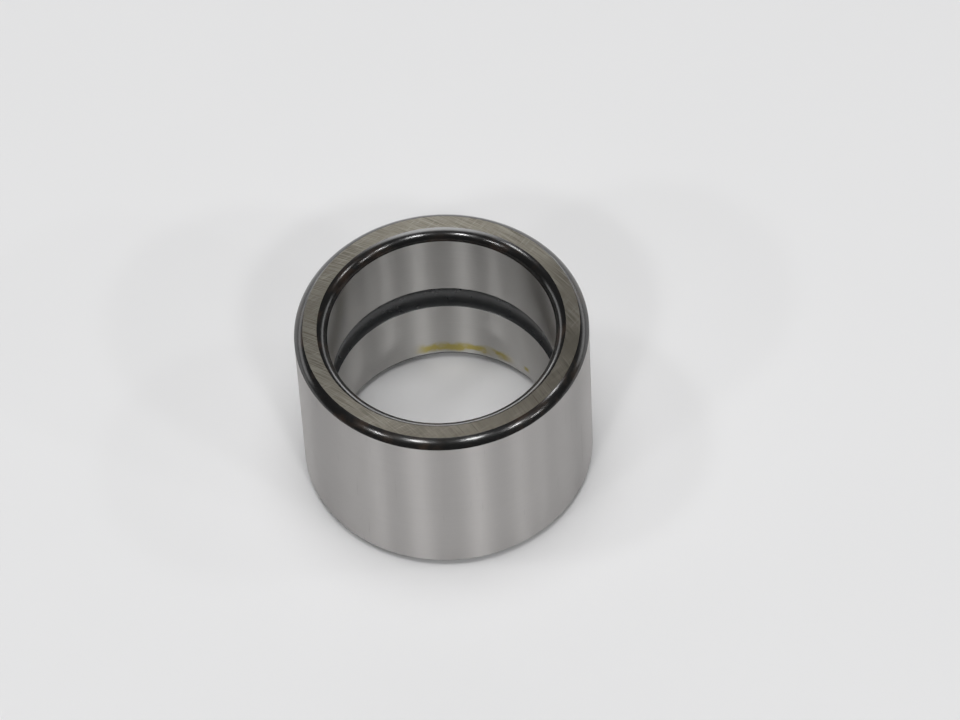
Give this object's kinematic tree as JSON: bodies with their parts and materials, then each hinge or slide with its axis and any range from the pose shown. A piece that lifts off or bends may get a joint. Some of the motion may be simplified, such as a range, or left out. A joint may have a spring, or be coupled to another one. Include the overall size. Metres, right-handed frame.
{
  "type": "needle roller bearing inner ring",
  "caption": "Heavy-section steel inner ring for a needle roller bearing, with a ground raceway outside, a ground bore with a central oil groove, and rounded edges.",
  "frame": {"origin": "centre of the lower end face, so the ring stands on Z = 0", "axes": "+Z along the ring's axis, up; +X along the radial oil hole"},
  "size_m": [0.0636, 0.0634, 0.0444],
  "materials": {
    "bearing_steel": "ground bright on the raceway, bore lands and end faces; black heat-treatment scale on the edge rounds and in the oil groove"
  },
  "bodies": {
    "root": {"inner_ring": "bearing_steel"}
  },
  "joints": []
}
